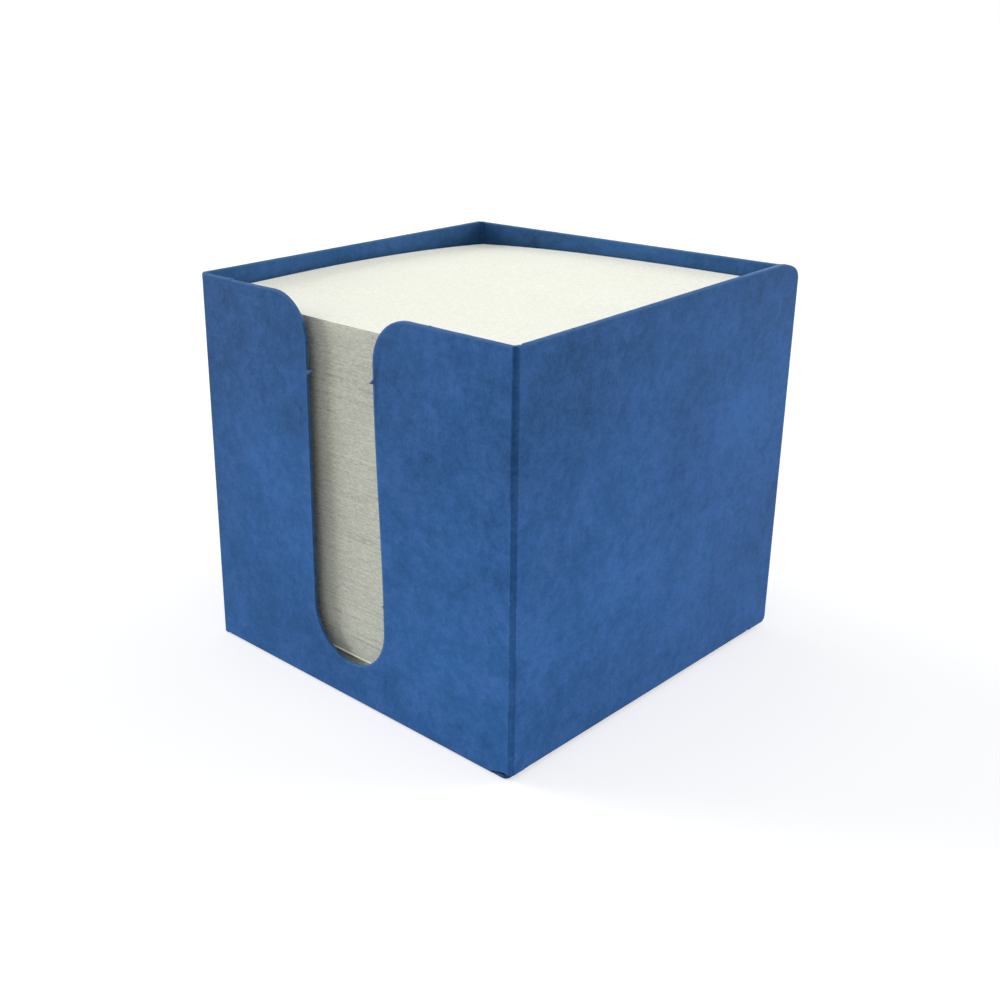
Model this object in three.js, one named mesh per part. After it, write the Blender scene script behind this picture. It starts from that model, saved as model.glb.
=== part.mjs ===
// A memo cube holder: a box folded and glued from one blank of pressboard, open at the top, with a thumb
// slot in its front wall, and the loose square memo sheets that it holds.
// Millimetres, +Z up. The slotted wall faces -Y, and the origin is at the middle of the foot.
import * as THREE from "three";

// Memo sheets and the room around them
const sheetWidth = 90;
const sheetThickness = 0.1;
const sheetSideRoom = 1.2;

// Pressboard and its joints
const board = 0.8;
const glueLine = 0.1;
const foldInnerRadius = 0.15;
const creaseReach = 1.6;
const creaseLip = 0.9;
const creaseDepth = 0.2;
const creaseBead = 0.5;

// Walls
const wallHeight = 90;
const rightRimRise = 1.6;
const backRimRise = 0.3;
const seamLap = 2.4;
const seamRelief = 2.5;
const rearRimRadius = 5;
const rearFootRadius = 1.5;

// Thumb slot
const slotWidth = 22.2;
const slotTaper = 1.8;
const slotFloor = 9.2;
const lipRadius = 10;

// Glue flap and base
const glueFlapWidth = 16;
const glueFlapTaper = 5;
const foldInset = 4.7;
const footRelief = 2.4;
const frontCreaseRelief = 0.8;
const baseFlapWidth = 20;
const baseMargin = 1.25;
const baseFlare = 0.45;
const baseFrontRadius = 1.2;
const baseCornerRadius = 3;

// Paper stack
const paperBelowRim = 3.55;
const paperBackGap = 0.4;
const lowerPackHeight = 7.85;
const lowerPackProud = 0.5;
const backCornerDrop = 2.35;
const thumbDip = 1.4;
const thumbDipWidth = 55;
const thumbDipDepth = 31;

// Sizes that follow from those above
const inner = sheetWidth + 2 * sheetSideRoom;
const outer = inner + 2 * board;
const half = outer / 2;
const foldRadius = foldInnerRadius + board;
const seamInset = board + glueLine;
const sideFoot = board + glueLine;
const foldHalf = half - foldInset;
const panelHalf = half - creaseReach;
const quarterTurn = Math.PI / 2;
const arcSteps = 10;
const flatSteps = 1;
const curvedSteps = 14;

const blue = { color: 0x345d91, roughness: 0.75, metalness: 0 };
const creaseBlue = { color: 0x21426e, roughness: 0.6, metalness: 0 };
const cream = { color: 0xf5f6ea, roughness: 0.9, metalness: 0 };

const holder = new THREE.Group();
holder.position.y = -seamLap / 2;

// One group for each side of the box. In a side's own frame the wall's outer face looks towards -Y,
// x runs along the wall to the right as seen from outside, and z is up.
const [frontSide, rightSide, backSide, leftSide] = [0, 1, 2, 3].map((turns) => {
  const side = new THREE.Group();
  side.rotation.z = turns * quarterTurn;
  holder.add(side);
  return side;
});

function addMesh(group, name, geometry, finish, x, y, z) {
  const mesh = new THREE.Mesh(geometry, new THREE.MeshStandardMaterial(finish));
  mesh.name = name;
  mesh.position.set(x, y, z);
  group.add(mesh);
}

function extrude(shape, depth) {
  return new THREE.ExtrudeGeometry(shape, { depth, bevelEnabled: false, curveSegments: arcSteps });
}

// Walls. Each outline is drawn as seen from outside: x along the wall, y up from the standing surface.

function addStandingBoard(side, name, outline, outerFace) {
  const geometry = extrude(outline, board);
  const along = new THREE.Vector3(1, 0, 0);
  const up = new THREE.Vector3(0, 0, 1);
  const outwards = new THREE.Vector3(0, -1, 0);
  geometry.applyMatrix4(new THREE.Matrix4().makeBasis(along, up, outwards));
  addMesh(side, name, geometry, blue, 0, outerFace + board, 0);
}

// The foot of a side or back wall: a fold line between two short cut edges.
function traceFoot(outline, start, end) {
  outline.moveTo(start, sideFoot);
  outline.lineTo(-foldHalf, sideFoot);
  outline.lineTo(-foldHalf, sideFoot + foldRadius);
  outline.lineTo(foldHalf, sideFoot + foldRadius);
  outline.lineTo(foldHalf, sideFoot);
  outline.lineTo(end, sideFoot);
}

function frontOutline() {
  const slotHalf = slotWidth / 2;
  const slotRight = slotHalf - slotTaper;
  const lipCentre = wallHeight - lipRadius;
  const outline = new THREE.Shape();
  outline.moveTo(-panelHalf, footRelief);
  outline.lineTo(-foldHalf, foldRadius);
  outline.lineTo(foldHalf, foldRadius);
  outline.lineTo(panelHalf, footRelief);
  outline.lineTo(panelHalf, wallHeight);
  outline.absarc(slotRight + lipRadius, lipCentre, lipRadius, quarterTurn, Math.PI, false);
  outline.absarc(0, slotFloor + slotHalf, slotHalf, 0, -Math.PI, true);
  outline.absarc(-slotHalf - lipRadius, lipCentre, lipRadius, 0, quarterTurn, false);
  outline.lineTo(-panelHalf, wallHeight);
  outline.closePath();
  return outline;
}

// The right wall is the last of the strip: it runs past the back wall and its free edge has round corners.
function rightOutline() {
  const rearEdge = half + seamLap;
  const rimAt = (x) => wallHeight + (rightRimRise * (x + half)) / (rearEdge + half);
  const rimTurn = rearEdge - rearRimRadius;
  const footTurn = rearEdge - rearFootRadius;
  const outline = new THREE.Shape();
  traceFoot(outline, -panelHalf, footTurn);
  outline.absarc(footTurn, sideFoot + rearFootRadius, rearFootRadius, -quarterTurn, 0, false);
  outline.absarc(rimTurn, rimAt(rimTurn) - rearRimRadius, rearRimRadius, 0, quarterTurn, false);
  outline.lineTo(-panelHalf, rimAt(-panelHalf));
  outline.closePath();
  return outline;
}

function plainOutline(start, startRim, end, endRim) {
  const outline = new THREE.Shape();
  traceFoot(outline, start, end);
  outline.lineTo(end, endRim);
  outline.lineTo(start, startRim);
  outline.closePath();
  return outline;
}

const seamRim = wallHeight + backRimRise;
const backWall = plainOutline(seamInset - panelHalf, seamRim, panelHalf, wallHeight);
const leftWall = plainOutline(-panelHalf, wallHeight, panelHalf, wallHeight);
addStandingBoard(frontSide, "front_wall", frontOutline(), -half);
addStandingBoard(rightSide, "right_wall", rightOutline(), -half);
addStandingBoard(backSide, "back_wall", backWall, -half);
addStandingBoard(leftSide, "left_wall", leftWall, -half);

// Glue flap: the end of the strip, folded from the back wall and glued inside the right wall.
const seamFoot = sideFoot + seamRelief;
const flapEnd = half - glueFlapWidth;
const glueFlap = new THREE.Shape();
glueFlap.moveTo(flapEnd, seamFoot + glueFlapTaper);
glueFlap.lineTo(panelHalf, seamFoot);
glueFlap.lineTo(panelHalf, seamRim);
glueFlap.lineTo(flapEnd, seamRim - glueFlapTaper);
glueFlap.closePath();
addStandingBoard(rightSide, "glue_flap", glueFlap, seamInset - half);

// Upright creases. In plan the outer corner is at the origin, one wall runs to -x and the next to +y.
// The scoring rule leaves a groove across the corner outside and raises a bead in the corner inside.
function cornerSection() {
  const groove = creaseLip / 2 + Math.SQRT2 * creaseDepth;
  const section = new THREE.Shape();
  section.moveTo(-creaseReach, 0);
  section.lineTo(-creaseLip, 0);
  section.quadraticCurveTo(-groove, groove, 0, creaseLip);
  section.lineTo(0, creaseReach);
  section.lineTo(-board, creaseReach);
  section.absarc(-board, board, creaseBead, quarterTurn, Math.PI, false);
  section.lineTo(-creaseReach, board);
  section.closePath();
  return section;
}

function addCornerCrease(side, name, foot, rim, outerFace) {
  addMesh(side, name, extrude(cornerSection(), rim - foot), creaseBlue, half, outerFace, foot);
}

const frontCreaseFoot = sideFoot + frontCreaseRelief;
addCornerCrease(frontSide, "front_right_crease", frontCreaseFoot, wallHeight, -half);
addCornerCrease(leftSide, "front_left_crease", frontCreaseFoot, wallHeight, -half);
addCornerCrease(backSide, "back_left_crease", sideFoot, wallHeight, -half);
addCornerCrease(rightSide, "seam_crease", seamFoot, seamRim, seamInset - half);

// Base creases: a quarter ring of board along each fold line.
function addBaseCrease(side, name, foot) {
  const section = new THREE.Shape();
  section.absarc(foldRadius, foldRadius, foldRadius, Math.PI, Math.PI + quarterTurn, false);
  section.absarc(foldRadius, foldRadius, foldInnerRadius, Math.PI + quarterTurn, Math.PI, true);
  section.closePath();
  const geometry = extrude(section, 2 * foldHalf);
  const inwards = new THREE.Vector3(0, 1, 0);
  const up = new THREE.Vector3(0, 0, 1);
  const along = new THREE.Vector3(1, 0, 0);
  geometry.applyMatrix4(new THREE.Matrix4().makeBasis(inwards, up, along));
  addMesh(side, name, geometry, blue, -foldHalf, -half, foot);
}

addBaseCrease(frontSide, "front_base_crease", 0);
addBaseCrease(rightSide, "right_base_crease", sideFoot);
addBaseCrease(backSide, "back_base_crease", sideFoot);
addBaseCrease(leftSide, "left_base_crease", sideFoot);

// Base flaps, drawn in plan: narrow mitred flaps on three walls, all at one level.
function addBaseFlap(side, name) {
  const fold = foldRadius - half;
  const freeEdge = baseFlapWidth - half;
  const freeHalf = foldHalf - (freeEdge - fold);
  const outline = new THREE.Shape();
  outline.moveTo(-foldHalf, fold);
  outline.lineTo(foldHalf, fold);
  outline.lineTo(freeHalf, freeEdge);
  outline.lineTo(-freeHalf, freeEdge);
  outline.closePath();
  addMesh(side, name, extrude(outline, board), blue, 0, 0, sideFoot);
}

addBaseFlap(rightSide, "right_base_flap");
addBaseFlap(backSide, "back_base_flap");
addBaseFlap(leftSide, "left_base_flap");

// Base panel: folded from the front wall under the three flaps and glued to them. The box stands on it.
function basePanelOutline() {
  const fold = foldRadius - half;
  const edge = half - baseMargin;
  const turn = edge - baseCornerRadius;
  const frontTurnX = edge - baseFrontRadius;
  const frontTurnY = fold - baseFlare + baseFrontRadius;
  const outline = new THREE.Shape();
  outline.moveTo(-foldHalf, fold);
  outline.lineTo(foldHalf, fold);
  outline.absarc(frontTurnX, frontTurnY, baseFrontRadius, -quarterTurn, 0, false);
  outline.absarc(turn, turn, baseCornerRadius, 0, quarterTurn, false);
  outline.absarc(-turn, turn, baseCornerRadius, quarterTurn, Math.PI, false);
  outline.absarc(-frontTurnX, frontTurnY, baseFrontRadius, -Math.PI, -quarterTurn, false);
  outline.closePath();
  return outline;
}
addMesh(frontSide, "base_panel", extrude(basePanelOutline(), board), blue, 0, 0, 0);

// Paper: a lower pack that stands a little proud at the slot, the bundles of the upper pack and a top sheet.
const stackFoot = sideFoot + board;
const stackTop = wallHeight - paperBelowRim;
const upperFoot = stackFoot + lowerPackHeight;
const stackX = -seamInset / 2;
const roomX = sheetSideRoom - seamInset / 2;
const paperSetBack = sheetSideRoom - paperBackGap;
const bundleShiftShares = [
  [0.1, 0.06],
  [-0.08, -0.05],
  [0.05, 0.08],
  [-0.12, 0.02],
  [0.09, -0.06],
  [-0.05, 0.04],
  [0, 0],
];
const bundleHeight = (stackTop - sheetThickness - upperFoot) / bundleShiftShares.length;

// The height of the paper's top face: sheets settle at the back left corner, and thumbs press them down
// beside the slot.
function paperTop(x, y) {
  const leftShare = (1 - x / (sheetWidth / 2)) / 2;
  const backShare = (1 + y / (sheetWidth / 2)) / 2;
  const cornerDrop = backCornerDrop * leftShare ** 3 * backShare ** 3;
  const aside = x / thumbDipWidth;
  const behind = (y + sheetWidth / 2) / thumbDipDepth;
  return stackTop - cornerDrop - thumbDip * Math.exp(-(aside ** 2) - behind ** 2);
}

// A closed slab as wide as a sheet between two height functions of x and y.
function sheetSlab(bottomAt, topAt, steps) {
  const heights = [bottomAt, topAt];
  const positions = [];
  const indices = [];
  const place = (step) => (step / steps - 1 / 2) * sheetWidth;
  const corner = (layer, i, j) => (layer * (steps + 1) + i) * (steps + 1) + j;
  const quad = (a, b, c, d) => indices.push(a, b, c, a, c, d);
  for (const heightAt of heights) {
    for (let i = 0; i <= steps; i++) {
      for (let j = 0; j <= steps; j++) {
        positions.push(place(i), place(j), heightAt(place(i), place(j)));
      }
    }
  }
  for (let i = 0; i < steps; i++) {
    for (let j = 0; j < steps; j++) {
      quad(corner(1, i, j), corner(1, i + 1, j), corner(1, i + 1, j + 1), corner(1, i, j + 1));
      quad(corner(0, i, j), corner(0, i, j + 1), corner(0, i + 1, j + 1), corner(0, i + 1, j));
    }
    quad(corner(0, i, 0), corner(0, i + 1, 0), corner(1, i + 1, 0), corner(1, i, 0));
    quad(corner(0, i + 1, steps), corner(0, i, steps), corner(1, i, steps), corner(1, i + 1, steps));
    quad(corner(0, 0, i + 1), corner(0, 0, i), corner(1, 0, i), corner(1, 0, i + 1));
    quad(corner(0, steps, i), corner(0, steps, i + 1), corner(1, steps, i + 1), corner(1, steps, i));
  }
  const geometry = new THREE.BufferGeometry();
  geometry.setAttribute("position", new THREE.Float32BufferAttribute(positions, 3));
  geometry.setIndex(indices);
  return geometry;
}

// Stacked bundles share the level where they meet.
const bundleLevel = (i) => upperFoot + i * bundleHeight;
const flatAt = (level) => () => level;

function addPaper(name, bottomAt, topAt, steps, x, y) {
  addMesh(holder, name, sheetSlab(bottomAt, topAt, steps), cream, x, y, 0);
}

addPaper("lower_pack", flatAt(stackFoot), flatAt(upperFoot), flatSteps, stackX, paperSetBack - lowerPackProud);

bundleShiftShares.forEach(([shareX, shareY], i) => {
  const name = `upper_pack_${i + 1}`;
  const foot = flatAt(bundleLevel(i));
  const x = stackX + shareX * roomX;
  const y = paperSetBack + shareY * paperBackGap;
  if (i < bundleShiftShares.length - 1) {
    addPaper(name, foot, flatAt(bundleLevel(i + 1)), flatSteps, x, y);
    return;
  }
  const underTopSheet = (px, py) => paperTop(px, py) - sheetThickness;
  addPaper(name, foot, underTopSheet, curvedSteps, x, y);
  addPaper("top_sheet", underTopSheet, paperTop, curvedSteps, x, y);
});

export default holder;
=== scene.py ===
import math
import random

import bmesh
import bpy
from mathutils import Matrix, Vector


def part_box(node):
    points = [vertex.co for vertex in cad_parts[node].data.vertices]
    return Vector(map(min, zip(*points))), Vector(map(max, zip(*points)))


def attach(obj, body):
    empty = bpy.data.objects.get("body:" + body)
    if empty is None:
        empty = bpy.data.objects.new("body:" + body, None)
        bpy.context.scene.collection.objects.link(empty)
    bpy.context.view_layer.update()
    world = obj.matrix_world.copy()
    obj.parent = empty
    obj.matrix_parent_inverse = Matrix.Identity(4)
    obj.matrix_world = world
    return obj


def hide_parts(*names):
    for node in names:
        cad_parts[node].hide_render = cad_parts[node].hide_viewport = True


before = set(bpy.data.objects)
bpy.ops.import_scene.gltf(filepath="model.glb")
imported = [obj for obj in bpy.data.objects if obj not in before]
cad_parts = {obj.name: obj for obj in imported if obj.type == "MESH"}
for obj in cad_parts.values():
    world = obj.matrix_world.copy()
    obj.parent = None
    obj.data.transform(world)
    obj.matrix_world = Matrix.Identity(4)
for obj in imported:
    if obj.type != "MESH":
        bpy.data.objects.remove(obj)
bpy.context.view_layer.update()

# Front wall
# The first panel of the blank that the box is folded from: dense pressboard, dyed blue all through and
# die-cut from its outer face. A thumb slot runs down it, with torn nibs left from the blank's sheet.
MM = 0.001
seam_lap = 2.4 * MM
front_low, front_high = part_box("front_wall")
panel_half = front_high.x
board = front_high.y - front_low.y
half = -front_low.y - seam_lap / 2
quarter_turn = math.pi / 2
same_place = 1e-7


def in_use(sockets, key):
    """The socket with this place or name among those that the node's settings leave in use."""
    enabled = [socket for socket in sockets if socket.enabled]
    if isinstance(key, int):
        return enabled[key]
    return next(socket for socket in enabled if socket.name == key)


class Wire:
    """A socket of a node tree. Python's operators on it add Math nodes to its tree."""

    def __init__(self, tree, socket):
        self.tree = tree
        self.socket = socket

    @classmethod
    def node(cls, tree, kind, settings=None, sockets=None, output=0):
        """A node with its settings, then the values or links of its sockets, by name or place."""
        made = tree.nodes.new(kind)
        for setting, value in (settings or {}).items():
            setattr(made, setting, value)
        for key, value in (sockets or {}).items():
            target = in_use(made.inputs, key)
            if isinstance(value, Wire):
                tree.links.new(value.socket, target)
            else:
                target.default_value = value
        return cls(tree, in_use(made.outputs, output)) if len(made.outputs) else None

    def math(self, operation, *others):
        sockets = dict(enumerate((self, *others)))
        return Wire.node(self.tree, "ShaderNodeMath", {"operation": operation}, sockets)

    def __add__(self, other):
        return self.math("ADD", other)

    def __sub__(self, other):
        return self.math("SUBTRACT", other)

    def __rsub__(self, other):
        return Wire.node(self.tree, "ShaderNodeMath", {"operation": "SUBTRACT"}, {0: other, 1: self})

    def __mul__(self, other):
        return self.math("MULTIPLY", other)

    def __truediv__(self, other):
        return self.math("DIVIDE", other)

    def __pow__(self, other):
        return self.math("POWER", other)

    __radd__ = __add__
    __rmul__ = __mul__

    def vector(self, operation, *others):
        sockets = dict(enumerate((self, *others)))
        return Wire.node(self.tree, "ShaderNodeVectorMath", {"operation": operation}, sockets)

    def times(self, amount):
        """This colour or vector, scaled by a number or a wire."""
        sockets = {0: self, "Scale": amount}
        return Wire.node(self.tree, "ShaderNodeVectorMath", {"operation": "SCALE"}, sockets)

    def eased(self, low, high):
        """0 below low, 1 above high, and a smooth step between them."""
        sockets = {"Value": self, "From Min": low, "From Max": high}
        return Wire.node(self.tree, "ShaderNodeMapRange", {"interpolation_type": "SMOOTHSTEP"}, sockets)


def noise(place, scale, detail, roughness=0.5, dimensions="3D"):
    """Soft noise between 0 and 1, mostly near the middle."""
    sockets = {"Vector": place, "Scale": scale, "Detail": detail, "Roughness": roughness}
    return Wire.node(place.tree, "ShaderNodeTexNoise", {"noise_dimensions": dimensions}, sockets, "Fac")


def lumps(place, size, seed, detail=1.0, fineness=0.5):
    """Soft lumps about size millimetres across on the blank, and finer ones, from about -1 to 1."""
    moved = place.vector("ADD", (37.0 * seed, 19.0 * seed, 0.0))
    return (noise(moved, 1 / size, detail, fineness, "2D") - 0.5) * 4


def fibres(place, spacing, width, seed):
    """Short curved fibres that lie every way in the face, some paler (above 0) and some darker (below 0)."""
    most_bend = 2.4
    tree = place.tree
    moved = place.vector("ADD", (53.0 * seed, 29.0 * seed, 0.0))
    settings = {"voronoi_dimensions": "2D", "feature": "F1"}
    sockets = {"Vector": moved, "Scale": 1 / spacing, "Randomness": 1.0}
    cell = Wire.node(tree, "ShaderNodeTexVoronoi", settings, sockets, "Color")
    middle = Wire(tree, cell.socket.node.outputs["Position"])
    lot = Wire.node(tree, "ShaderNodeSeparateColor", None, {0: cell})
    bend = Wire(tree, lot.socket.node.outputs[1])
    shade = Wire(tree, lot.socket.node.outputs[2])
    offset = Wire.node(tree, "ShaderNodeSeparateXYZ", None, {0: moved.vector("SUBTRACT", middle)})
    sideways = Wire(tree, offset.socket.node.outputs[1])
    heading = lot * (2 * math.pi)
    along = offset * heading.math("COSINE") + sideways * heading.math("SINE")
    across = sideways * heading.math("COSINE") - offset * heading.math("SINE")
    curve = across + along * along * (bend - 0.5) * (most_bend / spacing)
    core = 1 - curve.math("ABSOLUTE").eased(0.2 * width, width)
    ends = 1 - along.math("ABSOLUTE").eased(0.25 * spacing, 0.42 * spacing)
    return core * ends * (shade - 0.5) * 2


def mixed(factor, first, second):
    """The first colour where factor is 0, the second where it is 1."""
    sockets = {"Factor": factor, "A": first, "B": second}
    return Wire.node(factor.tree, "ShaderNodeMix", {"data_type": "RGBA"}, sockets)


faint_gloss = 0.12


def finished(name, make):
    """A material whose colour, roughness and relief come from make, which is given the tree."""
    material = bpy.data.materials.new(name)
    material.use_nodes = True
    tree = material.node_tree
    tree.nodes.clear()
    colour, roughness, relief, depth = make(tree)
    bump = Wire.node(tree, "ShaderNodeBump", None, {"Strength": 1.0, "Distance": depth, "Height": relief})
    sockets = {
        "Base Color": colour,
        "Roughness": roughness,
        "Normal": bump,
        "Specular IOR Level": faint_gloss,
    }
    shader = Wire.node(tree, "ShaderNodeBsdfPrincipled", None, sockets)
    Wire.node(tree, "ShaderNodeOutputMaterial", None, {"Surface": shader})
    return material


deep_blue = (0.0270, 0.1165, 0.329, 1)
# A greyer blue, for random mottling and for the painted sheen.
mottle_and_sheen_blue = (0.0352, 0.1170, 0.328, 1)
rubbed_blue = (0.10, 0.21, 0.43, 1)
# The darker, duller blue of the painted shade inside the box.
inner_shade_blue = (0.026, 0.084, 0.175, 1)
cut_blue = (0.045, 0.13, 0.3, 1)
pale_cut_blue = (0.06, 0.15, 0.34, 1)
# The palest edge blue, for torn nibs and for the rims' painted highlight and rubbing.
highlight_and_wear_cut_blue = (0.14, 0.26, 0.5, 1)
inner_face_shift = 400.0


def blank_place(tree):
    """Millimetres on the flat blank, which each piece of board keeps as its UV map. The inner face lies
    inner_face_shift further up than the outer one."""
    return Wire.node(tree, "ShaderNodeUVMap", {"uv_map": "blank"})


def mark(tree, name):
    """What the mesh's attribute of this name holds, and 0 where it has none."""
    return Wire.node(tree, "ShaderNodeAttribute", {"attribute_name": name}, None, "Fac")


def pressboard(tree):
    """The board's face before a rule has scored it. Painted shade darkens the outer face towards the top and
    the whole inner face, most from the paper's level down, and a painted sheen turns the right wall greyer
    towards its back.
    """
    place = blank_place(tree)
    mottle = lumps(place, size=12.0, seed=1, detail=2.0, fineness=1.0)
    mottle = (mottle + lumps(place, size=1.9, seed=11, detail=2.0, fineness=1.0)) * 0.43
    dye = lumps(place, size=42.0, seed=2)
    clumps = lumps(place, size=6.0, seed=3, detail=3.0, fineness=0.7).eased(-0.1, 1.1)
    clumps = clumps * lumps(place, size=26.0, seed=4).eased(-0.8, 0.9)
    tooth = lumps(place, size=0.25, seed=5, detail=2.0, fineness=0.8)
    strands = fibres(place, spacing=1.1, width=0.1, seed=1) + fibres(place, spacing=1.9, width=0.12, seed=2)
    strands = strands + fibres(place, spacing=3.3, width=0.13, seed=3)
    along = Wire.node(tree, "ShaderNodeSeparateXYZ", None, {0: place})
    height = Wire(tree, along.socket.node.outputs[1])
    # Painted shade: the outer face darkens towards the top, and the whole inner face is darker.
    top_painted_shade = height.eased(45.0, 92.0)
    inside = height.eased(inner_face_shift / 2, inner_face_shift * 3 / 4)
    above_paper = height.eased(inner_face_shift + 84.5, inner_face_shift + 89.0)
    # Painted shade inside the box: the inner face turns a darker, duller blue, most from the paper's level
    # down.
    inner_painted_shade = inside * (0.72 - above_paper * 0.38)
    # Painted sheen: a greyer, slightly paler blue that grows over the right wall towards its back, away from
    # the top.
    painted_sheen = along.eased(50.0, 125.0) * (1 - top_painted_shade)
    blotches = (mottle * 0.38 + dye * 0.12 - clumps * 0.2) * (1 - inside * 0.25)
    tone = 1.15 + blotches + tooth * 0.075 + strands * 0.09 - top_painted_shade * 0.2
    # worn mixes random mottling with the painted sheen.
    worn = lumps(place, size=13.0, seed=6, detail=2.0) * 0.25 + mottle * 2.5 + painted_sheen * 0.7 + 0.35
    hue = mixed(inner_painted_shade, mixed(worn.math("MINIMUM", 1.5), deep_blue, mottle_and_sheen_blue), inner_shade_blue)
    # A nib whose torn mark is below 0 is darkened with painted shade.
    tone = tone * (1 + mark(tree, "torn").math("MINIMUM", 0.0) * 0.5)
    colour = mixed(mark(tree, "rubbed") * 0.5, hue.times(tone + painted_sheen * 0.05), rubbed_blue)
    roughness = 0.68 + mottle * 0.1
    relief = mottle + tooth * 0.3 + strands.math("ABSOLUTE") * 0.4
    return colour, roughness, relief, 0.012 * MM


def cut_edge(tree):
    """The die-cut edge: paler, with layers of fibre along it. The rims are paler still towards the back,
    partly rubbed and partly a painted highlight.
    """
    place = blank_place(tree)
    drawn_out = place.vector("MULTIPLY", (0.35, 5.0, 1.0))
    layers = lumps(drawn_out, size=0.5, seed=6, detail=2.0)
    fluff = lumps(place, size=0.12, seed=7)
    patches = lumps(place, size=2.5, seed=8)
    tone = 1 + layers * 0.09 + fluff * 0.07 + patches * 0.05
    base = mixed(patches.eased(-1.0, 1.0), cut_blue, pale_cut_blue)
    here = Wire.node(tree, "ShaderNodeTexCoord", None, None, "Object")
    height = Wire.node(tree, "ShaderNodeSeparateXYZ", None, {0: here}, 2)
    # Painted highlight, partly rubbing: the rims turn paler, most towards the back.
    rearwards = Wire(tree, height.socket.node.outputs[1]).eased(15 * MM, 35 * MM)
    rim = height.eased(86 * MM, 89 * MM) * (0.1 + rearwards * 0.55)
    torn = mark(tree, "torn")
    paled = mixed(rim.math("MAXIMUM", torn), base, highlight_and_wear_cut_blue)
    # Painted shade darkens the cut edges of a nib whose torn mark is below 0.
    tone = tone + torn.math("MINIMUM", 0.0) * 0.5
    return paled.times(tone), 0.85 + fluff * 0.05, layers * 0.6 + fluff * 0.4, 0.02 * MM


board_finish = finished("pressboard_face", pressboard)
edge_finish = finished("pressboard_cut_edge", cut_edge)


class Outline:
    """The edge of a flat piece of board, drawn anticlockwise. Each stretch of it is cut or is a fold."""

    step = 1.6 * MM
    wander = 0.03 * MM

    def __init__(self, x, z, seed):
        self.points = [Vector((x, z))]
        self.roots = [Vector((x, z))]
        self.cut = []
        self.torn = [0.0]
        self.chance = random.Random(seed)

    def point(self, place, root=None, cut=True, torn=0.0):
        self.points.append(place)
        self.roots.append(root or place)
        self.cut.append(cut)
        self.torn.append(torn)

    def line(self, x, z, cut=True):
        start = self.roots[-1]
        run = Vector((x, z)) - start
        if run.length < same_place:
            return
        steps = max(1, round(run.length / self.step)) if cut else 1
        inwards = Vector((-run.y, run.x)).normalized()
        for i in range(1, steps + 1):
            off = self.chance.uniform(0, self.wander) if cut and i < steps else 0
            self.point(start + run * (i / steps) + inwards * off, cut=cut)

    def arc(self, x, z, radius, start, end):
        fewest = 5
        centre = Vector((x, z))
        steps = max(fewest, round(abs(end - start) * radius / self.step))
        for i in range(steps + 1):
            angle = start + (end - start) * i / steps
            place = centre + radius * Vector((math.cos(angle), math.sin(angle)))
            if i == 0:
                self.line(*place)
            else:
                self.point(place)

    def nib(self, x, z, width, tip, torn=0.0):
        """A torn tab at x, z: a ragged wedge, width wide at its root. torn above 0 is pale torn fibre; below
        0 it is painted shade that darkens the nib.
        """
        wedge = ((-0.2, 0.45), (-0.05, 1.0), (0.08, 0.85), (0.2, 0.4))
        root = Vector((x, z))
        travel = (root - self.roots[-1]).normalized()
        self.line(*(root - travel * width / 2))
        for share, reach in wedge:
            foot = root + travel * width * share
            self.point(foot + Vector(tip) * reach, foot, torn=torn)
        self.point(root + travel * width / 2)

    def close(self, cut=True):
        self.line(*self.points[0], cut=cut)
        self.points.pop()
        self.roots.pop()
        self.torn.pop()


def inset(points, cut, distance):
    """The outline's points moved into the board along its cut stretches, while its folds stay."""
    nearly_straight = 0.04
    longest = 1.8 * distance
    moved = []
    for i, here in enumerate(points):
        before = (here - points[i - 1]).normalized()
        after = (points[(i + 1) % len(points)] - here).normalized()
        first, second = Vector((-before.y, before.x)), Vector((-after.y, after.x))
        push_first = distance if cut[i - 1] else 0
        push_second = distance if cut[i] else 0
        turn = first.x * second.y - first.y * second.x
        if abs(turn) > nearly_straight:
            x = (push_first * second.y - push_second * first.y) / turn
            y = (push_second * first.x - push_first * second.x) / turn
            step = Vector((x, y))
            step.length = min(step.length, longest) if step.length else 0
        else:
            step = (first + second).normalized() * (push_first + push_second) / 2
        moved.append(here + step)
    return moved


def skin(name, loops, facing, caps, finishes, marks):
    """One closed body through loops of points. facing(band, i) gives a face's finish, whether it is smooth,
    and its place on the blank at a loop and point. caps are the finish and place of the two end faces."""
    count = len(loops[0])
    mesh = bpy.data.meshes.new(name)
    faces, materials, smooth, places = [], [], [], []
    for end, (finish, place) in ((0, caps[0]), (len(loops) - 1, caps[1])):
        faces.append([end * count + i for i in range(count)])
        materials.append(finish)
        smooth.append(False)
        places.extend(place(end, i) for i in range(count))
    for band in range(len(loops) - 1):
        for i in range(count):
            corners = ((band, i), (band, i + 1), (band + 1, i + 1), (band + 1, i))
            finish, is_smooth, place = facing(band, i)
            faces.append([loop * count + point % count for loop, point in corners])
            materials.append(finish)
            smooth.append(is_smooth)
            places.extend(place(loop, point) for loop, point in corners)
    mesh.from_pydata([point for loop in loops for point in loop], [], faces)
    mesh.polygons.foreach_set("material_index", materials)
    mesh.polygons.foreach_set("use_smooth", smooth)
    mesh.uv_layers.new(name="blank").uv.foreach_set("vector", [axis for place in places for axis in place])
    for mark_name, values in marks.items():
        attribute = mesh.attributes.new(mark_name, "FLOAT", "POINT")
        attribute.data.foreach_set("value", [value for loop in values for value in loop])
    for finish in finishes:
        mesh.materials.append(finish)
    shape = bmesh.new()
    shape.from_mesh(mesh)
    bmesh.ops.remove_doubles(shape, verts=shape.verts, dist=same_place)
    bmesh.ops.recalc_face_normals(shape, faces=shape.faces)
    shape.to_mesh(mesh)
    shape.free()
    mesh.set_sharp_from_angle(angle=math.radians(50))
    made = bpy.data.objects.new(name, mesh)
    bpy.context.collection.objects.link(made)
    return made


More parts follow.
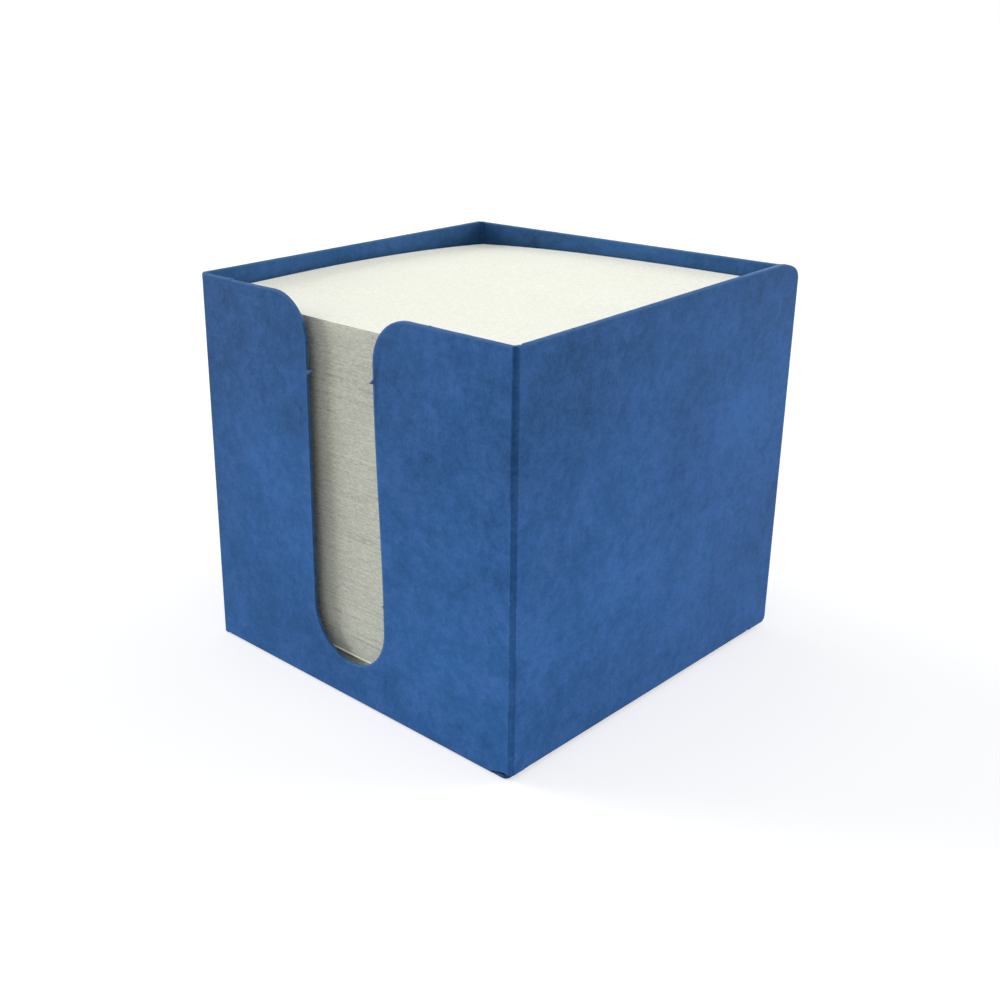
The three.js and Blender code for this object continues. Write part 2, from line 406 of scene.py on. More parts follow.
# The rule pushes the outer arris round and leaves the inner one sharp: the inset and the depth of each point
# from the outer face, for board of profile_board.
edge_profile = (
    (0.13, 0.0),
    (0.075, 0.018),
    (0.035, 0.055),
    (0.01, 0.11),
    (0.0, 0.19),
    (0.0, 0.7),
    (0.012, 0.755),
    (0.035, 0.788),
    (0.06, 0.8),
)
profile_board = 0.8
arris_steps = 5
rubbed_reach = 0.55 * MM
outer_rub = 1.0
inner_rub = 0.8


def cut_board(node, outline, to_row, strip):
    """A flat piece of board in place of a CAD node. to_row(x, z, depth) sets it down in the box."""
    rings = [(inset(outline.roots, outline.cut, rubbed_reach), 0.0)]
    for reach, depth in edge_profile:
        rings.append((inset(outline.points, outline.cut, reach * MM), depth * board / profile_board))
    rings.append((inset(outline.roots, outline.cut, rubbed_reach), board))
    count = len(outline.points)
    last = len(rings) - 1
    run = [0.0]
    for i, here in enumerate(outline.points):
        run.append(run[-1] + (outline.points[(i + 1) % count] - here).length / MM)

    def on_outer(ring, i):
        x, z = rings[ring][0][i % count]
        return x / MM + strip, z / MM

    def on_inner(ring, i):
        x, z = rings[ring][0][i % count]
        return x / MM + strip, z / MM + inner_face_shift

    def on_edge(ring, i):
        return run[i], rings[ring][1] / MM

    def facing(band, i):
        if band == 0:
            return 0, False, on_outer
        if band == last - 1:
            return 0, False, on_inner
        return (1, True, on_edge) if outline.cut[i] else (0, False, on_outer)

    loops = [[to_row(x, z, depth) for x, z in points] for points, depth in rings]
    worn = [outline.cut[i - 1] or outline.cut[i] for i in range(count)]
    shares = [0.0, outer_rub] + [0.0] * (last - 3) + [inner_rub, 0.0]
    # A torn mark below 0 is painted shade, which also takes the rubbed paleness off the nib.
    rubbed = [[share * is_worn * (1 + torn) for is_worn, torn in zip(worn, outline.torn)] for share in shares]
    marks = {"rubbed": rubbed, "torn": [outline.torn] * len(rings)}
    caps = ((0, on_outer), (0, on_inner))
    made = skin(f"{node}_board", loops, facing, caps, (board_finish, edge_finish), marks)
    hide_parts(node)
    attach(made, "box")


def from_front(turns):
    """The turn that takes the front side to another side of the box, by quarter turns about its middle."""
    return Matrix.Translation((0, -seam_lap / 2, 0)) @ Matrix.Rotation(turns * quarter_turn, 4, "Z")


def side(turns, set_in=0.0):
    """Where a point of an upright piece goes: x along the wall as seen from outside, z up, depth inwards."""
    turned = from_front(turns)
    return lambda x, z, depth: turned @ Vector((x, set_in + depth - half, z))


fold_inset = 4.7 * MM
fold_half = half - fold_inset
fold_radius = 0.95 * MM
near_relief = 1.75 * MM
left_relief = 0.25 * MM
slot_half = 11.1 * MM
slot_narrowing = 1.95 * MM
slot_centre = 20.3 * MM
lip_radius = 10 * MM
left_rim = 90.1 * MM
right_rim = 89.72 * MM
rim_step = 0.14 * MM
step_start, step_foot, step_end = -35.0 * MM, -35.4 * MM, -37.2 * MM
step_nib = -35.7 * MM
right_rim_nib = 24.6 * MM
slot_steps = 38
right_upper_nib, right_lower_nib = 0.065, 0.893
left_upper_nib, left_lower_nib = 73.8 * MM, 26.3 * MM

front = Outline(-panel_half, left_relief, seed=1)
front.line(-fold_half, fold_radius)
front.line(fold_half, fold_radius, cut=False)
front.line(panel_half, near_relief)
front.line(panel_half, right_rim, cut=False)
front.nib(right_rim_nib, right_rim, width=0.7 * MM, tip=(0, 0.12 * MM))
slot_top = slot_half - slot_narrowing
front.arc(slot_top + lip_radius, right_rim - lip_radius, lip_radius, quarter_turn, math.pi)
slot_rise = right_rim - lip_radius - slot_centre


def slot_right(share):
    """The slot's right edge, which eases outwards on its way down: share is 0 at the lip, 1 at the foot."""
    eased = (1 - math.cos(math.pi * share)) / 2
    return slot_top + slot_narrowing * eased, right_rim - lip_radius - slot_rise * share


# This nib is darkened with painted shade.
front.nib(*slot_right(right_upper_nib), width=1.2 * MM, tip=(-1.15 * MM, -0.65 * MM), torn=-0.9)
for i in range(math.ceil(right_upper_nib * slot_steps), slot_steps + 1):
    if i == round(right_lower_nib * slot_steps):
        front.nib(*slot_right(right_lower_nib), width=0.6 * MM, tip=(-0.4 * MM, 0.1 * MM))
    else:
        front.line(*slot_right(i / slot_steps))
front.arc(0, slot_centre, slot_half, 0, -math.pi)
front.nib(-slot_half, left_lower_nib, width=0.6 * MM, tip=(0.45 * MM, 0.1 * MM))
front.nib(-slot_half, left_upper_nib, width=1.1 * MM, tip=(1.25 * MM, 0.55 * MM), torn=1.0)
front.arc(-slot_half - lip_radius, left_rim - lip_radius, lip_radius, 0, quarter_turn)
front.line(step_start, left_rim - rim_step)
front.line(step_foot, left_rim - rim_step)
front.nib(step_nib, left_rim, width=0.5 * MM, tip=(0, 0.16 * MM))
front.line(step_end, left_rim)
front.line(-panel_half, left_rim)
front.close(cut=False)
cut_board("front_wall", front, side(0), 0.0)

# Right wall
# The last panel of the strip, so it runs past the back wall. Its free edge has round corners, and its rim
# rises a little towards the back. The wall is glued over the flap inside it.
side_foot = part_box("right_wall")[0].z
cut_foot = side_foot + 0.28 * MM
rear_edge = half + seam_lap
rear_foot_radius = 1.5 * MM
near_rim = 90.05 * MM
rear_rim = 91.4 * MM
rim_swell = 0.35
rim_steps = 12
shoulder = 41.0 * MM
fall_steps = 5
rim_fall = math.radians(24)
rear_rim_radius = 3.4 * MM
rim_turn = rear_edge - rear_rim_radius * (1 - math.sin(rim_fall))
crease_run = 2.75
strip_pitch = 2 * panel_half / MM + crease_run


def foot_line(outline, end, end_foot=cut_foot):
    """The foot of a side or back wall: a fold between two short cut edges."""
    outline.line(-fold_half, cut_foot)
    outline.line(-fold_half, side_foot + fold_radius)
    outline.line(fold_half, side_foot + fold_radius, cut=False)
    outline.line(fold_half, cut_foot)
    outline.line(end, end_foot)


def right_rim_at(x):
    """The rim climbs to its shoulder, most of all in the middle, and falls away from there in a curve."""
    if x < shoulder:
        share = (x + half) / (shoulder + half)
        climbed = (share + rim_swell * share * share * (3 - 2 * share)) / (1 + rim_swell)
        return near_rim + (rear_rim - near_rim) * climbed
    return rear_rim - math.tan(rim_fall) * (x - shoulder) ** 2 / (2 * (rim_turn - shoulder))


right = Outline(-panel_half, cut_foot, seed=2)
foot_line(right, rear_edge - rear_foot_radius)
right.arc(rear_edge - rear_foot_radius, cut_foot + rear_foot_radius, rear_foot_radius, -quarter_turn, 0)
corner_rise = right_rim_at(rim_turn) - rear_rim_radius * math.cos(rim_fall)
right.arc(rear_edge - rear_rim_radius, corner_rise, rear_rim_radius, 0, quarter_turn - rim_fall)
for i in range(1, fall_steps):
    along = rim_turn + (shoulder - rim_turn) * i / fall_steps
    right.line(along, right_rim_at(along))
for i in range(rim_steps + 1):
    along = shoulder - (shoulder + panel_half) * i / rim_steps
    right.line(along, right_rim_at(along))
right.close(cut=False)
cut_board("right_wall", right, side(1), strip_pitch)

# Back and left walls
# Two plain panels. The back wall's rim rises to the seam beside the right wall.
glue_line = 0.1 * MM
seam_inset = board + glue_line
seam_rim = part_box("glue_flap")[1].z
back_rim = 89.98 * MM
left_wall_rim = 90.15 * MM
back = Outline(seam_inset - panel_half, cut_foot, seed=3)
foot_line(back, panel_half)
back.line(panel_half, back_rim, cut=False)
back.line(seam_inset - panel_half, seam_rim)
back.close(cut=False)
cut_board("back_wall", back, side(2), -2 * strip_pitch)

left_foot = 0.6 * MM
left = Outline(-panel_half, cut_foot, seed=4)
foot_line(left, panel_half, left_foot)
left.line(panel_half, left_rim, cut=False)
left.line(-panel_half, left_wall_rim)
left.close(cut=False)
cut_board("left_wall", left, side(3), -strip_pitch)

# Upright creases
# A scoring rule presses a groove down each corner outside and raises a bead inside. The groove is burnished
# glossier near the rim, where painted shade darkens it, and painted light makes it a little paler near the
# foot.
crease_reach = 1.6 * MM
crease_lip = 0.9 * MM
crease_bead = 0.5 * MM
crease_rows = 60
groove_depth = 0.28 * MM
groove_left_at_foot = 0.25
groove_steps = 14
bead_steps = 10
drift_kept = 0.8
drift_step = 0.02
press_and_shade_climb = 6
press_and_shade_roundness = 0.6


def scored(tree):
    """Pressboard that a rule has scored: its grooves are glossier and smoother where their mark is above 0,
    with painted shade that darkens them, and paler with painted light where it is below 0.
    """
    colour, roughness, relief, depth = pressboard(tree)
    press_and_shade = mark(tree, "press_and_shade")
    # Painted shade darkens the groove where its mark is above 0; below 0, painted light makes it paler.
    shade = 1 - press_and_shade * (0.46 + lumps(blank_place(tree), size=1.4, seed=9) * 0.06)
    return colour.times(shade), roughness - press_and_shade * 0.12, relief * (1 - press_and_shade * 0.6), depth


shaded_crease_finish = finished("scored_pressboard_shaded", scored)


def rule(name, stations, sections, cut, to_row, blank_at, press_and_shade):
    """A crease: sections of the board set down one after another, with cut edges at both ends."""
    ends = [(inset_by, back_by) for back_by, inset_by in edge_profile[:arris_steps]]
    first, last = stations[0], stations[-1]
    loops, places, marks = [], [], []

    def add(station, section, press, inset_by=0.0):
        loops.append([to_row(x, y, station) for x, y in inset(section, cut, inset_by)])
        places.append([blank_at(i, station) for i in range(len(section) + 1)])
        marks.append(press)

    for inset_by, back_by in reversed(ends):
        add(first + back_by * MM, sections[0], press_and_shade[0], inset_by * MM)
    for station, section, press in list(zip(stations, sections, press_and_shade))[1:-1]:
        add(station, section, press)
    for inset_by, back_by in ends:
        add(last - back_by * MM, sections[-1], press_and_shade[-1], inset_by * MM)
    rounded = len(ends) - 1

    def on_blank(loop, i):
        return places[loop][i]

    def facing(band, i):
        is_end = band < rounded or band >= len(loops) - 1 - rounded
        return (1 if is_end and cut[i] else 0), True, on_blank

    caps = ((1, on_blank), (1, on_blank))
    made = skin(name, loops, facing, caps, (shaded_crease_finish, edge_finish), {"press_and_shade": marks})
    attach(made, "box")
    return made


def corner_section(depth, lean):
    """In plan, the corner at 0, 0, one wall along -x and the next along +y. The groove leans towards -x."""
    points = [Vector((-crease_reach, 0))]
    lip_start, lip_end = Vector((-crease_lip - lean, 0)), Vector((0, crease_lip - lean))
    pull = (lip_start + lip_end) / 2 + Vector((-1, 1)).normalized() * 2 * depth
    for i in range(groove_steps + 1):
        t = i / groove_steps
        points.append(lip_start * (1 - t) ** 2 + pull * 2 * t * (1 - t) + lip_end * t**2)
    points += [Vector((0, crease_reach)), Vector((-board, crease_reach))]
    for i in range(bead_steps + 1):
        angle = quarter_turn + quarter_turn * i / bead_steps
        points.append(Vector((-board, board)) + crease_bead * Vector((math.cos(angle), math.sin(angle))))
    return points + [Vector((-crease_reach, board))]


def corner_crease(
    node, turns, feet, rims, strip, seed, set_in=0.0, press_and_shade_top=0.7, press_and_shade_foot=-0.1, leans=(0, 0)
):
    """A crease in place of a CAD node. feet and rims are the levels of its ends, at one wall and the next."""
    chance = random.Random(seed)
    turned = from_front(turns)
    rim, foot = max(rims), min(feet)
    stations, sections, press_and_shade = [], [], []
    drift = 0.0
    for row in range(crease_rows + 1):
        share = row / crease_rows
        drift = drift_kept * drift + chance.uniform(-drift_step, drift_step) * MM
        lean = leans[0] + (leans[1] - leans[0]) * share
        groove = groove_depth * (groove_left_at_foot + (1 - groove_left_at_foot) * share)
        sections.append(corner_section(groove / 2 + drift / 4, lean))
        stations.append(foot + (rim - foot) * share)
        # The painted shade climbs to its full strength at the rim; a negative foot value is painted light.
        strength = press_and_shade_foot + (press_and_shade_top - press_and_shade_foot) * share**press_and_shade_climb
        across = [0.0] * len(sections[-1])
        for i in range(1, groove_steps + 2):
            across[i] = strength * math.sin(math.pi * (i - 1) / groove_steps) ** press_and_shade_roundness
        press_and_shade.append(across)
    count = len(sections[0])
    outer_count = groove_steps + 3
    cut = [True] * (outer_count - 1) + [False] + [True] * (count - outer_count - 1) + [False]
    along = [0.0]
    for before, after in zip(sections[0], sections[0][1:]):
        along.append(along[-1] + (after - before).length / MM)
    along.append(along[-1])

    def to_row(x, y, station):
        towards_next = min(1, max(0, (x + crease_reach + y) / (2 * crease_reach)))
        low = feet[0] + (feet[1] - feet[0]) * towards_next
        high = rims[0] + (rims[1] - rims[0]) * towards_next
        level = low + (high - low) * (station - foot) / (rim - foot)
        return turned @ Vector((half + x, set_in - half + y, level))

    def blank_at(i, station):
        if i < outer_count:
            return strip + panel_half / MM + along[i], station / MM
        return strip + panel_half / MM + along[-1] - along[i], station / MM + inner_face_shift

    made = rule(f"{node}_score", stations, sections, cut, to_row, blank_at, press_and_shade)
    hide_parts(node)


near_feet, near_rims = (near_relief, cut_foot), (right_rim, near_rim)
near_look = {"press_and_shade_top": 0.72, "press_and_shade_foot": -0.25, "leans": (-0.35 * MM, 0.5 * MM)}
corner_crease("front_right_crease", 0, near_feet, near_rims, 0.0, seed=11, **near_look)
left_feet, left_rims = (left_foot, left_relief), (left_rim, left_rim)
corner_crease("front_left_crease", 3, left_feet, left_rims, -strip_pitch, seed=12)
back_feet, back_rims = (cut_foot, cut_foot), (back_rim, left_wall_rim)
corner_crease("back_left_crease", 2, back_feet, back_rims, -2 * strip_pitch, seed=13)
seam_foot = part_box("seam_crease")[0].z
seam_feet, seam_rims = (seam_foot, seam_foot), (seam_rim, seam_rim)
corner_crease("seam_crease", 1, seam_feet, seam_rims, 3 * strip_pitch, seed=14, set_in=seam_inset)

# Glue flap
# The end of the strip beyond the back wall, tapered and glued flat inside the right wall.
flap_width = 16 * MM
flap_taper = 5 * MM
flap_end = half - flap_width
glue = Outline(flap_end, seam_foot + flap_taper, seed=5)
glue.line(panel_half, seam_foot)
glue.line(panel_half, seam_rim, cut=False)
glue.line(flap_end, seam_rim - flap_taper)
glue.close()
cut_board("glue_flap", glue, side(1, seam_inset), 3 * strip_pitch)

# Base creases
# The folds between the walls and the base: the board bends round a quarter turn, with no groove outside.
bend_inner_radius = 0.15 * MM
bend_steps = 10
bend_rows = 46
# Painted shade darkens the middle of each bend's outer face a little, and makes it a little glossier.
bend_press_and_shade = 0.12


def bend_section():
    """y inwards from the wall's outer face, z up from the underside."""
    centre = Vector((fold_radius, fold_radius))
    outer, inner = [], []
    for i in range(bend_steps + 1):
        angle = math.pi + quarter_turn * i / bend_steps
        way = Vector((math.cos(angle), math.sin(angle)))
        outer.append(centre + fold_radius * way)
        inner.append(centre + bend_inner_radius * way)
    return outer + inner[::-1]


def base_crease(node, turns, foot, strip):
    """A fold in place of a CAD node, with its underside at foot."""
    turned = from_front(turns)
    section = bend_section()
    stations = [fold_half * (2 * row / bend_rows - 1) for row in range(bend_rows + 1)]
    cut = [True] * bend_steps + [False] + [True] * bend_steps + [False]
    soft = [bend_press_and_shade * math.sin(math.pi * min(i, bend_steps) / bend_steps) for i in range(len(section))]

    def to_row(y, z, station):
        return turned @ Vector((station, y - half, foot + z))

    def blank_at(i, station):
        around = fold_radius / MM * (1 - quarter_turn * min(i, 2 * bend_steps + 1 - i) / bend_steps)
        return strip + station / MM, around + (inner_face_shift if i > bend_steps else 0)

    sections, press_and_shade = [section] * len(stations), [soft] * len(stations)
    made = rule(f"{node}_bend", stations, sections, cut, to_row, blank_at, press_and_shade)
    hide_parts(node)


base_crease("front_base_crease", 0, 0.0, 0.0)
base_crease("right_base_crease", 1, side_foot, strip_pitch)
base_crease("back_base_crease", 2, side_foot, -2 * strip_pitch)
base_crease("left_base_crease", 3, side_foot, -strip_pitch)

# Base flaps
# Narrow mitred flaps folded in from the right, back and left walls, all at one level.
fold_line = fold_radius - half
base_flap_width = 20 * MM
flap_free_edge = base_flap_width - half
flap_free_half = fold_half - (flap_free_edge - fold_line)


def flat_side(turns, foot):
    """Where a point of a flat piece goes: x along the wall that it is folded from, y inwards, depth up."""
    turned = from_front(turns)
    return lambda x, y, depth: turned @ Vector((x, y, foot + depth))


for node, turns, strip in (
    ("right_base_flap", 1, strip_pitch),
    ("back_base_flap", 2, -2 * strip_pitch),
    ("left_base_flap", 3, -strip_pitch),
):
    flap = Outline(-fold_half, fold_line, seed=5 + turns)
    flap.line(fold_half, fold_line, cut=False)
    flap.line(flap_free_half, flap_free_edge)
    flap.line(-flap_free_half, flap_free_edge)
    flap.close()
    cut_board(node, flap, flat_side(turns, side_foot), strip)

# Base panel
# Folded in from the front wall and glued under the three flaps, so the box stands on it. It flares out to
# the corners of the box beside the fold, and all its corners are round.
panel_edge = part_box("base_panel")[1].x
panel_radius = 3 * MM
panel_turn = panel_edge - panel_radius
flare = 0.45 * MM
flare_radius = 1.2 * MM
flare_turn = panel_edge - flare_radius
flare_line = fold_line - flare + flare_radius
flare_start = Vector((fold_half + 0.12 * MM, fold_line - 0.42 * MM))
base = Outline(-fold_half, fold_line, seed=9)
base.line(fold_half, fold_line, cut=False)
base.line(*flare_start)
base.arc(flare_turn, flare_line, flare_radius, -quarter_turn, 0)
base.arc(panel_turn, panel_turn, panel_radius, 0, quarter_turn)
base.arc(-panel_turn, panel_turn, panel_radius, quarter_turn, math.pi)
base.arc(-flare_turn, flare_line, flare_radius, -math.pi, -quarter_turn)
base.line(-flare_start.x, flare_start.y)
base.close()
cut_board("base_panel", base, flat_side(0, 0.0), 0.0)

# Memo sheets
# About 850 loose sheets of cream paper, 90 mm square and 0.1 mm thick, guillotined in blocks. They lie a hair
# out of line, the lower pack stands a little proud, and the top settles at a corner and beside the slot.
sheet_thickness = 0.1 * MM
sheet_fill = 0.93
settle_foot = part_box("upper_pack_7")[0].z
settle_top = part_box("top_sheet")[1].z - sheet_thickness
corner_drop = 2.35 * MM
thumb_dip = 1.4 * MM
thumb_width = 55 * MM
thumb_depth = 31 * MM
stray_share = 0.025
stray_least, stray_most = 0.02 * MM, 0.1 * MM
most_turn = 0.0006
drift_share = 2.2
cream_face, warm_face = (0.912, 0.92, 0.818, 1), (0.922, 0.929, 0.832, 1)
# The edge colours are darker partly for the rougher cut and partly as painted shade between the sheets.
cream_edge_and_shade, warm_edge_and_shade = (0.637, 0.652, 0.57, 1), (0.662, 0.677, 0.591, 1)


def memo_paper(tree):
    """Uncoated cream paper: bright on its face, and darker where the cut edges of the sheets lie together,
    partly for their rougher cut and partly as painted shade between the sheets, with painted dark streaks
    where they part.
    """
    place = Wire.node(tree, "ShaderNodeTexCoord", None, None, "Object").times(1 / MM)
    facing = Wire.node(tree, "ShaderNodeNewGeometry", None, None, "True Normal")
    upright = Wire.node(tree, "ShaderNodeSeparateXYZ", None, {0: facing}, 2)
    edge = 1 - upright.math("ABSOLUTE").eased(0.3, 0.7)
    grain = (noise(place, scale=1.5, detail=4.0, roughness=0.65) - 0.5) * 4
    cloud = (noise(place, scale=0.1, detail=1.0) - 0.5) * 4
    drawn_out = place.vector("MULTIPLY", (0.5, 0.5, 4.2))
    torn = (noise(drawn_out, scale=1.4, detail=3.0, roughness=0.8) - 0.5) * 4
    patchy = place.vector("MULTIPLY", (0.3, 0.3, 1.2))
    broken = noise(patchy, scale=1.0, detail=2.0).eased(0.38, 0.58)
    sheet = mark(tree, "sheet_tone") * broken
    # Painted shade: dark streaks where the sheets part.
    stretched = place.vector("MULTIPLY", (0.012, 0.012, 2.2))
    parting_shade = (1 - noise(stretched, scale=1.0, detail=1.0).eased(0.28, 0.38)) * broken
    face = mixed(cloud.eased(-1, 1), cream_face, warm_face)
    edges = mixed(cloud.eased(-1, 1), cream_edge_and_shade, warm_edge_and_shade)
    cut = sheet * 0.15 - parting_shade * 0.26 + grain * 0.1 + torn * 0.36 + cloud * 0.035
    tone = 1 + grain * 0.1 * (1 - edge) + edge * cut
    return mixed(edge, face, edges).times(tone), 0.85 + grain * 0.03, grain + edge * torn * 2, 0.004 * MM


paper_finish = finished("memo_paper", memo_paper)
stack = bpy.data.node_groups.new("memo_stack", "GeometryNodeTree")
sizes = {
    "Sheets": ("NodeSocketInt", 1),
    "Grid": ("NodeSocketInt", 3),
    "Width": ("NodeSocketFloat", 0.09),
    "Centre": ("NodeSocketVector", (0.0, 0.0, 0.0)),
    "Foot": ("NodeSocketFloat", 0.0),
    "Pitch": ("NodeSocketFloat", sheet_thickness),
    "Thickness": ("NodeSocketFloat", sheet_thickness),
    "Scatter": ("NodeSocketFloat", 0.0),
    "Gap Level": ("NodeSocketFloat", 0.0),
    "Gap Reach": ("NodeSocketFloat", 0.0001),
    "Gap Depth": ("NodeSocketFloat", 0.0003),
    "Seed": ("NodeSocketInt", 0),
    "Paper": ("NodeSocketMaterial", None),
}
for socket_name, (kind, value) in sizes.items():
    socket = stack.interface.new_socket(name=socket_name, in_out="INPUT", socket_type=kind)
    if value is not None:
        socket.default_value = value
stack.interface.new_socket(name="Geometry", in_out="OUTPUT", socket_type="NodeSocketGeometry")
stack_input = stack.nodes.new("NodeGroupInput")
given = {name: Wire(stack, stack_input.outputs[name]) for name in sizes}


def in_stack(kind, settings=None, sockets=None, output=0):
    """A node of the stack's tree."""
    return Wire.node(stack, kind, settings, sockets, output)


def joined(x, y, z):
    """A vector of the stack's tree from three numbers or wires."""
    return in_stack("ShaderNodeCombineXYZ", None, {0: x, 1: y, 2: z})


size = joined(given["Width"], given["Width"], given["Thickness"])
cube_sockets = {"Size": size, "Vertices X": given["Grid"], "Vertices Y": given["Grid"], "Vertices Z": 2}
one_sheet = in_stack("GeometryNodeMeshCube", None, cube_sockets)
line_sockets = {
    "Count": given["Sheets"],
    "Start Location": given["Centre"].vector("ADD", joined(0.0, 0.0, given["Foot"] + given["Pitch"] / 2)),
    "Offset": joined(0.0, 0.0, given["Pitch"]),
}
levels = in_stack("GeometryNodeMeshLine", None, line_sockets)
index = in_stack("GeometryNodeInputIndex")
here = in_stack("GeometryNodeInputPosition")
height = in_stack("ShaderNodeSeparateXYZ", None, {0: here}, 2)


def by_chance(low, high, salt):
    """A random number for each sheet."""
    sockets = {"Min": low, "Max": high, "ID": index, "Seed": given["Seed"] + salt}
    return in_stack("FunctionNodeRandomValue", {"data_type": "FLOAT"}, sockets)


def wander(salt):
    """A slow drift up the stack."""
    sockets = {"W": height * (0.11 / MM) + given["Seed"] * 7.3 + salt, "Scale": 1.0, "Detail": 2.0}
    return (in_stack("ShaderNodeTexNoise", {"noise_dimensions": "1D"}, sockets, "Fac") - 0.5) * 2


off_gap = (height - given["Gap Level"]).math("ABSOLUTE")
set_back = 1 - (off_gap - given["Gap Reach"]).eased(-0.02 * MM, 0.1 * MM)
stray = by_chance(0.0, 1.0, 4).math("GREATER_THAN", 1 - stray_share)
back_by = set_back * given["Gap Depth"] + stray * by_chance(stray_least, stray_most, 5)
shift_x = (by_chance(-1.0, 1.0, 1) + wander(2) * drift_share) * given["Scatter"]
shift_y = (by_chance(-1.0, 1.0, 2) + wander(9) * drift_share) * given["Scatter"] + back_by
shift = joined(shift_x, shift_y, 0.0)
shifted = in_stack("GeometryNodeSetPosition", None, {"Geometry": levels, "Offset": shift})
turn = joined(0.0, 0.0, by_chance(-most_turn, most_turn, 3))
instance_sockets = {"Points": shifted, "Instance": one_sheet, "Rotation": turn}
sheets = in_stack("GeometryNodeInstanceOnPoints", None, instance_sockets)
tone_settings = {"data_type": "FLOAT", "domain": "INSTANCE"}
tone_sockets = {"Geometry": sheets, "Name": "sheet_tone", "Value": by_chance(-1.0, 1.0, 6)}
toned = in_stack("GeometryNodeStoreNamedAttribute", tone_settings, tone_sockets)
real = in_stack("GeometryNodeRealizeInstances", None, {"Geometry": toned})
local = here.vector("SUBTRACT", given["Centre"])
local_x = in_stack("ShaderNodeSeparateXYZ", None, {0: local})
local_y = Wire(stack, local_x.socket.node.outputs[1])
left_share = (1 - local_x / (given["Width"] / 2)) / 2
back_share = (1 + local_y / (given["Width"] / 2)) / 2
aside = local_x / thumb_width
behind = (local_y + given["Width"] / 2) / thumb_depth
dip = (0 - aside * aside - behind * behind).math("EXPONENT") * thumb_dip
drop = left_share.math("MAXIMUM", 0.0) ** 3 * back_share.math("MAXIMUM", 0.0) ** 3 * corner_drop + dip
settled = ((height - settle_foot) / (settle_top - settle_foot)).math("MINIMUM", 1.0).math("MAXIMUM", 0.0)
lowered = joined(0.0, 0.0, 0 - drop * settled)
laid = in_stack("GeometryNodeSetPosition", None, {"Geometry": real, "Offset": lowered})
made_of = in_stack("GeometryNodeSetMaterial", None, {"Geometry": laid, "Material": given["Paper"]})
in_stack("NodeGroupOutput", None, {"Geometry": made_of})


def pack(node, body, grid, scatter, gap, seed):
    """The sheets in place of a CAD node. gap gives the level, reach and depth of a recess in their edges."""
    low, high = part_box(node)
    foot = settle_top if node == "top_sheet" else low.z
    top = settle_top if node == "upper_pack_7" else high.z
    sheet_count = round((top - foot) / sheet_thickness)
    pitch = (top - foot) / sheet_count
    maker = bpy.data.objects.new(f"{node}_maker", bpy.data.meshes.new(f"{node}_maker"))
    bpy.context.collection.objects.link(maker)
    modifier = maker.modifiers.new("stack", "NODES")
    modifier.node_group = stack
    values = {
        "Sheets": sheet_count,
        "Grid": grid,
        "Width": high.x - low.x,
        "Centre": ((low.x + high.x) / 2, (low.y + high.y) / 2, 0.0),
        "Foot": foot,
        "Pitch": pitch,
        "Thickness": pitch * (1 if sheet_count == 1 else sheet_fill),
        "Scatter": scatter,
        "Gap Level": gap[0] * MM,
        "Gap Reach": gap[1] * MM,
        "Gap Depth": gap[2] * MM,
        "Seed": seed,
        "Paper": paper_finish,
    }
    for item in stack.interface.items_tree:
        if item.in_out == "INPUT":
            modifier[item.identifier] = values[item.name]
    bpy.context.view_layer.update()
    mesh = bpy.data.meshes.new_from_object(maker.evaluated_get(bpy.context.evaluated_depsgraph_get()))
    bpy.data.objects.remove(maker)
    mesh.name = f"{node}_sheets"
    made = bpy.data.objects.new(f"{node}_sheets", mesh)
    bpy.context.collection.objects.link(made)
    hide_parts(node)
    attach(made, body)
    return made


sheet_scatter = 0.03 * MM
flat_grid, settled_grid, top_grid = 5, 15, 61
below_ledge = (5.5, 3.85, 0.6)
pack("lower_pack", "lower_pack", flat_grid, sheet_scatter, below_ledge, seed=21)
gap_levels = (15.0, 29.6, 40.2, 52.9, 61.5, 69.1, 81.7)
gap_reach, gap_depth = 0.06, 0.13
for i, gap_level in enumerate(gap_levels):
    grid = settled_grid if i == len(gap_levels) - 1 else flat_grid
    gap = (gap_level, gap_reach, gap_depth)
    pack(f"upper_pack_{i + 1}", "upper_pack", grid, sheet_scatter, gap, seed=30 + i)
top_sheet = pack("top_sheet", "top_sheet", top_grid, scatter=0.0, gap=(0.0, 0.0, 0.0), seed=50)
for polygon in top_sheet.data.polygons:
    polygon.use_smooth = True
top_sheet.data.set_sharp_from_angle(angle=math.radians(40))

# Camera
# The photograph looks down a little at the near right corner, with the object left of the lens's axis.
photo_side = 1000
lens_pixels = 1273.67
axis_x, axis_y = 402.75, 476.86
eye = Vector((187.48, -214.12, 147.45)) * MM
tilt, roll, heading = (math.radians(angle) for angle in (69.3401, 0.6051, 45.468))
camera_data = bpy.data.cameras.new("camera")
camera_data.sensor_width = 36
camera_data.lens = camera_data.sensor_width * lens_pixels / photo_side
camera_data.shift_x = (photo_side / 2 - axis_x) / photo_side
camera_data.shift_y = (axis_y - photo_side / 2) / photo_side
camera_data.clip_start = 0.01
camera = bpy.data.objects.new("camera", camera_data)
camera.location = eye
camera.rotation_euler = (tilt, roll, heading)
bpy.context.collection.objects.link(camera)
bpy.context.scene.camera = camera

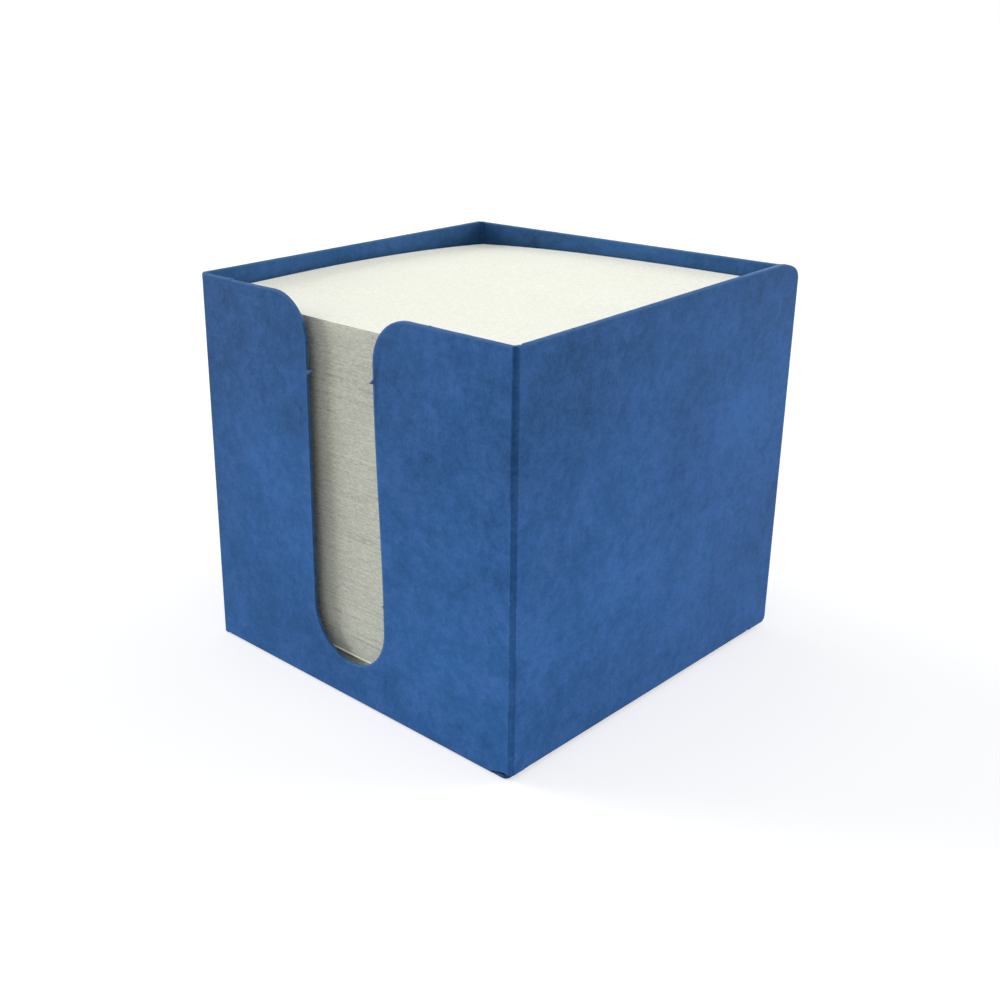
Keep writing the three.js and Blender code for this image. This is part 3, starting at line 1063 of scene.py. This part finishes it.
# Floor and light
# A pale table under a soft, even light from above. Seen directly, the floor and the room are white.
floor_reach = 6.0
floor_level = -0.02 * MM
floor_shade = 0.55
floor_glow = 0.56
floor_mesh = bpy.data.meshes.new("floor")
ways = ((-1, -1), (1, -1), (1, 1), (-1, 1))
corners = [(x * floor_reach, y * floor_reach, floor_level) for x, y in ways]
floor_mesh.from_pydata(corners, [], [(0, 1, 2, 3)])
floor = bpy.data.objects.new("floor", floor_mesh)
bpy.context.collection.objects.link(floor)


def seen_directly(tree):
    """1 for a ray from the camera, or one that a gloss or a clear surface sends on."""
    rays = Wire.node(tree, "ShaderNodeLightPath", None, None, "Is Camera Ray")
    glossy = Wire(tree, rays.socket.node.outputs["Is Glossy Ray"])
    clear = Wire(tree, rays.socket.node.outputs["Is Transmission Ray"])
    return rays.math("MAXIMUM", glossy).math("MAXIMUM", clear)


floor_finish = bpy.data.materials.new("pale_floor")
floor_finish.use_nodes = True
tree = floor_finish.node_tree
tree.nodes.clear()
floor_colour = (floor_shade, floor_shade, floor_shade, 1)
matt = Wire.node(tree, "ShaderNodeBsdfDiffuse", None, {"Color": floor_colour})
glow = Wire.node(tree, "ShaderNodeEmission", None, {"Strength": seen_directly(tree) * floor_glow})
both = Wire.node(tree, "ShaderNodeAddShader", None, {0: matt, 1: glow})
Wire.node(tree, "ShaderNodeOutputMaterial", None, {"Surface": both})
floor_mesh.materials.append(floor_finish)

room_light = 0.15
world = bpy.data.worlds.new("room")
bpy.context.scene.world = world
world.use_nodes = True
tree = world.node_tree
tree.nodes.clear()
seen = seen_directly(tree)
strength = seen + (1 - seen) * room_light
room = Wire.node(tree, "ShaderNodeBackground", None, {"Color": (1, 1, 1, 1), "Strength": strength})
Wire.node(tree, "ShaderNodeOutputWorld", None, {"Surface": room})

for name, energy, spread, from_way in (
    ("overhead", 1.37, 90, (0.1, -0.1, 1.0)),
    ("left_box", 3.9, 42, (-0.96, -0.33, 0.19)),
    ("right_box", 2.56, 50, (0.5, 0.9, 0.2)),
):
    lamp = bpy.data.lights.new(name, "SUN")
    lamp.energy = energy
    lamp.angle = math.radians(spread)
    light = bpy.data.objects.new(name, lamp)
    light.rotation_euler = Vector(from_way).to_track_quat("Z", "Y").to_euler()
    bpy.context.collection.objects.link(light)

bpy.context.scene.view_settings.view_transform = "Standard"
